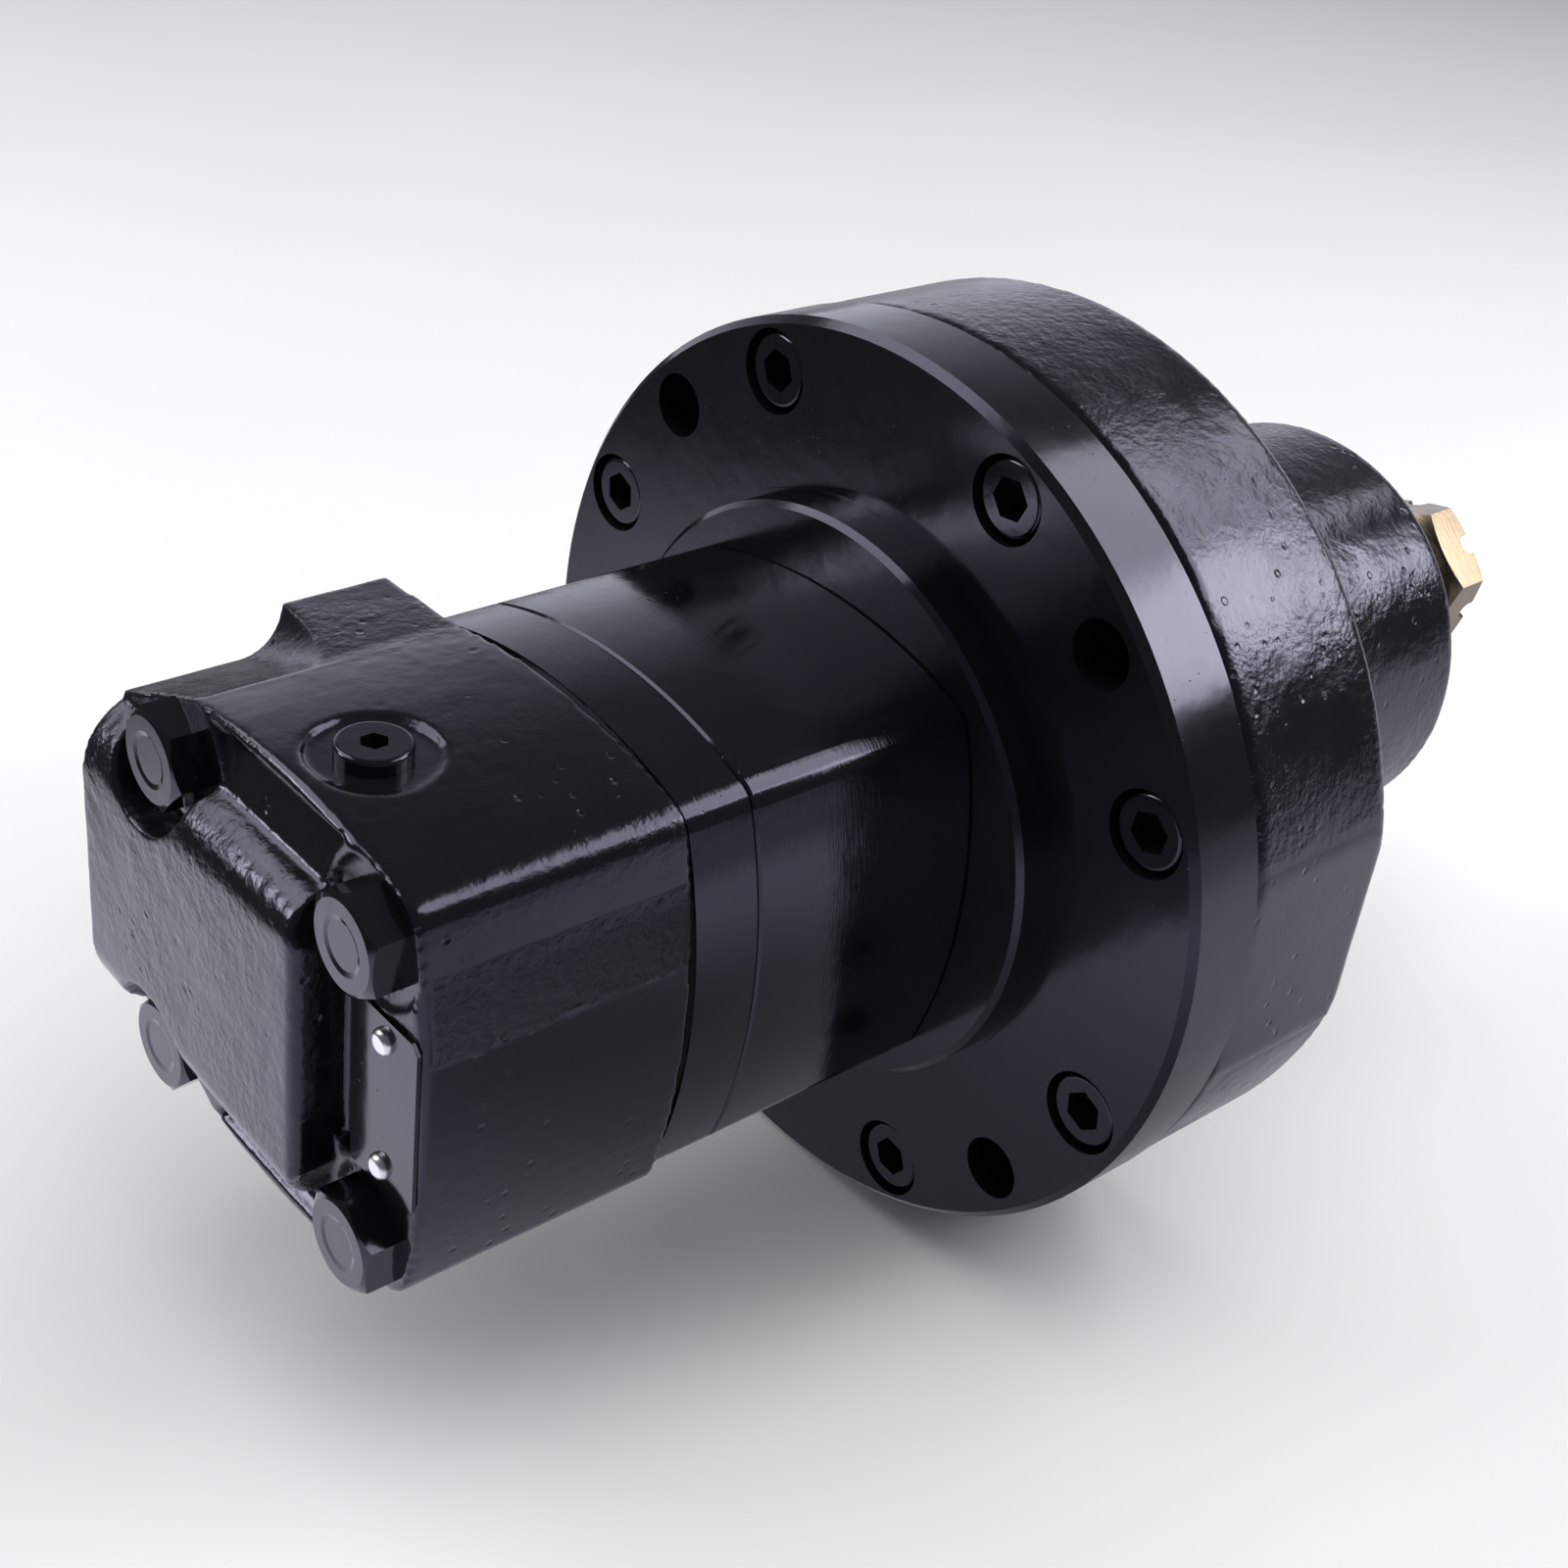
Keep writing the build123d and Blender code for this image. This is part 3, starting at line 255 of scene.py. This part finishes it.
MAT = {
    "casting": paint("black_enamel_on_casting", cast=1.0, peel=1.0, zones=drum_zones),
    "end_casting": paint("black_enamel_on_end_casting", cast=1.0, peel=0.8, side_band=True, zones=end_zones),
    "machined": paint("black_enamel_on_machined_steel", cast=0.0, peel=0.6, brush=1.0),
    "flange": paint("black_enamel_on_flange", cast=0.0, peel=0.6, brush=0.25, rough_add=0.05),
    "bolt": paint("black_enamel_on_bolts", cast=0.0, peel=0.8),
    "plate": paint("black_enamel_on_plate", cast=0.0, peel=0.25, brush=0.1),
    "rivet": metal("bright_rivet_steel", (0.86, 0.86, 0.88), (0.22, 0.38), False),
    "nut": metal("yellow_zinc_plate", (0.31, 0.245, 0.165), (0.16, 0.30), True, tint=(0.30, 0.22, 0.17)),
    "steel": metal("ground_steel", (0.34, 0.34, 0.35), (0.22, 0.36)),
    "bearing": metal("bearing_steel", (0.5, 0.5, 0.52), (0.1, 0.2)),
    "spring": metal("tempered_steel", (0.2, 0.2, 0.21), (0.3, 0.45), False),
    "facing": metal("sintered_facing", (0.2, 0.16, 0.11), (0.5, 0.7), False),
    "rubber": rubber("nitrile_rubber"),
}


def assign(ob, mat):
    ob.data.materials.clear()
    ob.data.materials.append(mat)
    for p in ob.data.polygons:
        p.material_index = 0


node_mat = {
    "end_housing": "casting", "brake_housing": "casting", "bearing_housing": "casting", "valve_plate": "machined",
    "geroler_ring": "machined", "mounting_flange": "flange", "end_bolts": "bolt",
    "flange_screws": "bolt", "drain_plug": "bolt", "nameplate": "plate",
    "nameplate_rivets": "rivet", "castle_nut": "nut", "output_shaft": "steel",
    "shaft_key": "steel", "brake_rotor_discs": "facing", "brake_stator_discs": "spring",
    "brake_springs": "spring", "balance_spring": "spring", "shaft_seal": "rubber",
    "section_seals": "rubber", "brake_cover_seal": "rubber", "piston_seals": "rubber",
    "drain_plug_oring": "rubber",
}
for name, ob in N.items():
    key = node_mat.get(name)
    if key is None:
        key = "bearing" if ("bearing" in name and "nut" not in name) or "roller" in name else "steel"
        if "cage" in name:
            key = "spring"
    assign(ob, MAT[key])

for name, w in (("valve_plate", 0.0004), ("geroler_ring", 0.0005), ("mounting_flange", 0.0004),
                ("end_bolts", 0.0005), ("flange_screws", 0.0003), ("drain_plug", 0.0003),
                ("castle_nut", 0.0003), ("nameplate", 0.0002)):
    ob = N[name]
    b = ob.modifiers.new("edge", "BEVEL")
    b.width = w
    b.segments = 2
    b.limit_method = "ANGLE"
    b.angle_limit = math.radians(28)
    b.harden_normals = False
    b.use_clamp_overlap = True


# ------------------------------------------------------------ numpy noise
def hash3(ix, iy, iz, seed):
    h = (ix * 374761393 + iy * 668265263 + iz * 2147483647 + seed * 974634777) & 0xFFFFFFFF
    h = ((h ^ (h >> 13)) * 1274126177) & 0xFFFFFFFF
    h = (h ^ (h >> 16)) & 0xFFFFFFFF
    return h.astype(np.float64) / 4294967295.0


def vnoise(p, size, seed=0):
    """Smooth value noise, 0..1, with cells of the given size in metres."""
    q = p / size + 1000.0
    i = np.floor(q).astype(np.int64)
    f = q - i
    f = f * f * (3 - 2 * f)
    out = 0.0
    for dx in (0, 1):
        for dy in (0, 1):
            for dz in (0, 1):
                w = (f[:, 0] if dx else 1 - f[:, 0]) * (f[:, 1] if dy else 1 - f[:, 1]) * (f[:, 2] if dz else 1 - f[:, 2])
                out = out + w * hash3(i[:, 0] + dx, i[:, 1] + dy, i[:, 2] + dz, seed)
    return out


def pits(p, size, keep, radius, seed=0):
    """Depth map, 0..1, of scattered round pits: one per cell with chance keep."""
    q = p / size + 1000.0
    i = np.floor(q).astype(np.int64)
    best = np.zeros(len(p))
    for dx in (-1, 0, 1):
        for dy in (-1, 0, 1):
            for dz in (-1, 0, 1):
                c = i + np.array((dx, dy, dz))
                on = hash3(c[:, 0], c[:, 1], c[:, 2], seed) < keep
                o = np.stack([hash3(c[:, 0], c[:, 1], c[:, 2], seed + k) for k in (1, 2, 3)], 1)
                d = np.linalg.norm(q - c - o, axis=1) * size
                r = radius * (0.6 + 0.8 * hash3(c[:, 0], c[:, 1], c[:, 2], seed + 4))
                v = np.where(on, np.clip(1 - (d / r) ** 2, 0, 1), 0)
                best = np.maximum(best, v)
    return best


def skin(nodes, name, voxel, smooth, shape, mat):
    """A remeshed, softened and displaced copy of a casting that stands for its CAD node."""
    me = bpy.data.meshes.new(name)
    bj = bmesh.new()
    for nd in nodes:
        bj.from_mesh(N[nd].data)
    bj.to_mesh(me)
    bj.free()
    ob = bpy.data.objects.new(name, me)
    COL.objects.link(ob)
    r = ob.modifiers.new("r", "REMESH")
    r.mode = "VOXEL"
    r.voxel_size = voxel
    dg = bpy.context.evaluated_depsgraph_get()
    new = bpy.data.meshes.new_from_object(ob.evaluated_get(dg))
    ob.modifiers.clear()
    ob.data = new
    bm = bmesh.new()
    bm.from_mesh(new)
    for _ in range(smooth):
        bmesh.ops.smooth_vert(bm, verts=bm.verts, factor=0.5, use_axis_x=True, use_axis_y=True, use_axis_z=True)
    bm.normal_update()
    bm.to_mesh(new)
    bm.free()
    n = len(new.vertices)
    co = np.empty(n * 3)
    nr = np.empty(n * 3)
    new.vertices.foreach_get("co", co)
    new.vertices.foreach_get("normal", nr)
    co, nr = co.reshape(-1, 3), nr.reshape(-1, 3)
    co = co + nr * shape(co, nr)[:, None]
    new.vertices.foreach_set("co", co.ravel())
    new.update()
    for p in new.polygons:
        p.use_smooth = True
    assign(ob, mat)
    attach(ob, "motor_frame")
    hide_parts(*nodes)
    return ob


def smooth_step(x, a, b):
    t = np.clip((x - a) / (b - a), 0, 1)
    return t * t * (3 - 2 * t)


def cast_end(co, nr):
    x, y, z = co[:, 0] * 1000, co[:, 1] * 1000, co[:, 2] * 1000
    d = (vnoise(co, 0.014, 1) - 0.5) * 0.00016
    d += (vnoise(co, 0.0050, 2) - 0.5) * 0.00008
    rough = smooth_step(vnoise(co, 0.018, 7), 0.35, 0.65)
    d += (vnoise(co, 0.0019, 3) - 0.5) * 0.00009 * (0.2 + rough)
    d -= pits(co, 0.0048, 0.25, 0.0009, 11) * 0.00018 * (0.3 + rough)
    # rough cast band along the plain side, smoother metal above and below it
    side = smooth_step(-y, 44.0, 47.0)
    band = side * smooth_step(z, 13.0, 14.4) * (1 - smooth_step(z, 30.4, 31.8))
    smooth_side = side * (1 - band)
    d = d * (1 - 0.75 * smooth_side)
    d += band * ((vnoise(co, 0.0024, 5) - 0.5) * 0.00022 - 0.00012)
    # machined: port face, mating face, spotface, bolt seats
    mach = np.zeros(len(co))
    mach = np.maximum(mach, smooth_step(y, 54.2, 54.8) * (nr[:, 1] > 0.7))
    mach = np.maximum(mach, smooth_step(x, -83.0, -80.8))
    rr = np.hypot(x + 119.5, y + 5.5)
    mach = np.maximum(mach, (rr < 13.4) * (z > 40))
    for sy in (1, -1):
        for sz in (1, -1):
            rb = np.hypot(y - sy * 32.8, z - sz * 32.8)
            mach = np.maximum(mach, (rb < 14.3) * (x > -137.2))
    return d * (1 - 0.93 * mach)


def cast_drum(co, nr):
    x, y, z = co[:, 0] * 1000, co[:, 1] * 1000, co[:, 2] * 1000
    rad = np.hypot(y, z)
    d = (vnoise(co, 0.020, 21) - 0.5) * 0.00020
    d += (vnoise(co, 0.0065, 22) - 0.5) * 0.00008
    rough = smooth_step(vnoise(co, 0.024, 27), 0.4, 0.65)
    d += (vnoise(co, 0.0024, 23) - 0.5) * 0.00008 * (0.2 + rough)
    d -= pits(co, 0.0070, 0.22, 0.0011, 31) * 0.00028 * (0.35 + rough)
    mach = np.maximum(smooth_step(np.abs(y), 96.0, 96.7) * (np.abs(nr[:, 1]) > 0.9), (rad < 42.8) * 1.0)
    mach = np.maximum(mach, (x < 60.0) * (rad < 90))
    mach = np.maximum(mach, (x < 18.9) * 1.0)
    # ragged rear rim beside the flange
    rim = (1 - smooth_step(x, 19.4, 21.2)) * smooth_step(rad, 96.5, 98.0)
    ragged = vnoise(co * np.array((0.5, 1, 1)), 0.0042, 29)
    return d * (1 - 0.93 * mach) - rim * (0.00015 + 0.0009 * np.clip(ragged - 0.25, 0, 1))


end_skin = skin(["end_housing"], "end_housing_skin", 0.0007, 2, cast_end, MAT["end_casting"])
drum_skin = skin([n for n in ("brake_housing", "bearing_housing") if n in N], "brake_housing_skin", 0.0011, 2, cast_drum, MAT["casting"])


# --------------------------------------------------------- port threads
def thread(name, centre, axis, r_out, depth, pitch, length, mat, segs=64):
    """Internal thread: a tube whose inner wall is a helical ridge."""
    a = Vector(axis).normalized()
    u = a.orthogonal().normalized()
    v = a.cross(u)
    turns = length / pitch
    per = 6
    rows = int(turns * per)
    verts, faces = [], []
    for i in range(rows + 1):
        for s in range(segs):
            t = s / segs
            ang = 2 * math.pi * t
            d = min(max((i / per + 0.0) * pitch, 0.0), length)
            ph = ((i / per) - t) % 1.0
            prof = 1 - abs(2 * ph - 1)
            r = r_out - depth * min(max(1.6 * prof - 0.3, 0), 1)
            p = Vector(centre) + a * (-d) + (u * math.cos(ang) + v * math.sin(ang)) * r
            verts.append(p)
    for i in range(rows):
        for s in range(segs):
            s2 = (s + 1) % segs
            faces.append((i * segs + s, i * segs + s2, (i + 1) * segs + s2, (i + 1) * segs + s))
    me = bpy.data.meshes.new(name)
    me.from_pydata(verts, [], faces)
    me.update()
    ob = bpy.data.objects.new(name, me)
    COL.objects.link(ob)
    for p in me.polygons:
        p.use_smooth = True
    assign(ob, mat)
    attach(ob, "motor_frame")
    return ob


thread("port_a_thread", (-0.0975, 0.0536, 0.014), (0, 1, 0), 0.01016, 0.0006, 0.00181, 0.0150,
       MAT["steel"])
thread("port_b_thread", (-0.1200, 0.0536, -0.014), (0, 1, 0), 0.01016, 0.0006, 0.00181, 0.0150,
       MAT["steel"])
thread("brake_port_thread", (0.036, 0.0958, 0), (0, 1, 0), 0.00494, 0.0004, 0.00127, 0.0110,
       MAT["steel"], 40)

# --------------------------------------------------------- floor and light
fm = Mat("pale_floor")
fcol = fm.mix(fm.ramp(fm.noise(3, 3), 0.3, 0.7), (0.86, 0.86, 0.865, 1), (0.9, 0.9, 0.9, 1))
fm.principled(fcol, 0.8, fm.bump(fm.noise(60, 2), 0.0002, 0.1))
fme = bpy.data.meshes.new("floor")
fme.from_pydata([(-5, -5, -0.1006), (5, -5, -0.1006), (5, 5, -0.1006), (-5, 5, -0.1006)], [], [(0, 1, 2, 3)])
floor = bpy.data.objects.new("floor", fme)
COL.objects.link(floor)
floor.data.materials.append(fm.m)


floor.visible_glossy = False

# painted reflection of the table top as the gloss paint sees it: an emissive card seen only by glossy rays,
# bright at the rear and falling away on the far left, with a painted shadow of the object on the -Y side
cm = Mat("table_glow")
sep = cm.n("SeparateXYZ")
cm.link(cm.co, sep.inputs[0])
cx_, cy_ = sep.outputs[0], sep.outputs[1]
slant = cm.math("SUBTRACT", cy_, cm.math("MULTIPLY", cx_, 0.8))
far_left = cm.ramp(slant, 0.33, 0.52, 1.0, 0.07)
far_right = cm.ramp(cy_, -0.70, -0.45, 0.45, 0.85)
rear = cm.ramp(cx_, -0.20, -0.05, 1.30, 0.45)
right_part = cm.ramp(cy_, -0.12, 0.02, 0.0, 1.0)
level = cm.math("ADD", cm.math("MULTIPLY", right_part, rear), cm.math("MULTIPLY", cm.math("SUBTRACT", 1.0, right_part), far_right))
# painted shadow: the card is darkened by up to 0.75 around x 0, y -0.15, where the object shades the table
dx_ = cm.math("POWER", cm.math("ABSOLUTE", cm.math("DIVIDE", cx_, 0.13)), 2.0)
dy_ = cm.math("POWER", cm.math("ABSOLUTE", cm.math("DIVIDE", cm.math("ADD", cy_, 0.15), 0.22)), 2.0)
painted_shadow_spot = cm.math("EXPONENT", cm.math("MULTIPLY", cm.math("ADD", dx_, dy_), -1.0))
painted_shadow_factor = cm.math("SUBTRACT", 1.0, cm.math("MULTIPLY", painted_shadow_spot, 0.75))
glow = cm.math("MULTIPLY", cm.math("MULTIPLY", far_left, level), painted_shadow_factor)
em = cm.n("Emission")
em.inputs["Color"].default_value = (1.0, 1.0, 1.12, 1)
cm.put(em.inputs["Strength"], glow)
cm.link(em.outputs[0], cm.out.inputs["Surface"])
gme = bpy.data.meshes.new("table_glow")
gme.from_pydata([(-2, -2, -0.1010), (2, -2, -0.1010), (2, 2, -0.1010), (-2, 2, -0.1010)], [], [(0, 1, 2, 3)])
glow_ob = bpy.data.objects.new("table_glow", gme)
COL.objects.link(glow_ob)
glow_ob.data.materials.append(cm.m)
glow_ob.visible_camera = False
glow_ob.visible_diffuse = False
glow_ob.visible_shadow = False
glow_ob.visible_transmission = False


def area(name, az, el, dist, size, radiance, color=(1, 1, 1)):
    """Softbox seen from the object at that azimuth and elevation, degrees from +X towards +Y."""
    a, e = math.radians(az), math.radians(el)
    pos = Vector((math.cos(e) * math.cos(a), math.cos(e) * math.sin(a), math.sin(e))) * dist
    l = bpy.data.lights.new(name, "AREA")
    l.shape = "RECTANGLE"
    l.size, l.size_y = size
    l.energy = radiance * math.pi * size[0] * size[1]
    l.color = color
    o = bpy.data.objects.new(name, l)
    COL.objects.link(o)
    o.location = pos
    o.rotation_euler = (-pos).to_track_quat("-Z", "Y").to_euler()
    return o


area("softbox_right", -29, 49, 1.4, (1.30, 0.52), 3.6, (1.0, 1.0, 1.0))
area("lamp_right", -33, 30, 1.3, (0.50, 0.40), 7.6, (1.0, 1.0, 1.0))
area("softbox_left", 128, 42, 1.4, (1.05, 0.85), 2.8, (1.0, 1.0, 1.0))
area("lamp_left", 140, 19, 1.3, (0.34, 0.26), 9.5, (1.0, 1.0, 1.0))
top = area("top", -135, 80, 1.9, (1.5, 1.5), 2.6, (1.0, 1.0, 0.97))
top.visible_glossy = False

world = bpy.data.worlds.new("studio")
bpy.context.scene.world = world
world.use_nodes = True
wt = world.node_tree
bg = wt.nodes["Background"]
wc = wt.nodes.new("ShaderNodeTexCoord")
wsep = wt.nodes.new("ShaderNodeSeparateXYZ")
wt.links.new(wc.outputs["Generated"], wsep.inputs[0])


def wmap(sock, a, b, lo, hi):
    nd = wt.nodes.new("ShaderNodeMapRange")
    wt.links.new(sock, nd.inputs["Value"])
    for k, v in (("From Min", a), ("From Max", b), ("To Min", lo), ("To Max", hi)):
        nd.inputs[k].default_value = v
    return nd.outputs["Result"]


def wmath(op, a, b):
    nd = wt.nodes.new("ShaderNodeMath")
    nd.operation = op
    for s_, v in zip(nd.inputs, (a, b)):
        if isinstance(v, (int, float)):
            s_.default_value = v
        else:
            wt.links.new(v, s_)
    return nd.outputs[0]


toward = wmath("ADD", wmath("MULTIPLY", wsep.outputs[0], 0.707), wmath("MULTIPLY", wsep.outputs[1], 0.707))
side = wmap(toward, 0.45, 0.8, 0.0, 1.0)
high = wmap(wsep.outputs[2], 0.10, 0.62, 1.0, 0.05)
glow_w = wmath("MULTIPLY", wmath("MULTIPLY", side, high), 0.95)
strength = wmath("ADD", glow_w, 0.10)
bg.inputs[0].default_value = (0.94, 0.97, 1.10, 1)
wt.links.new(strength, bg.inputs[1])
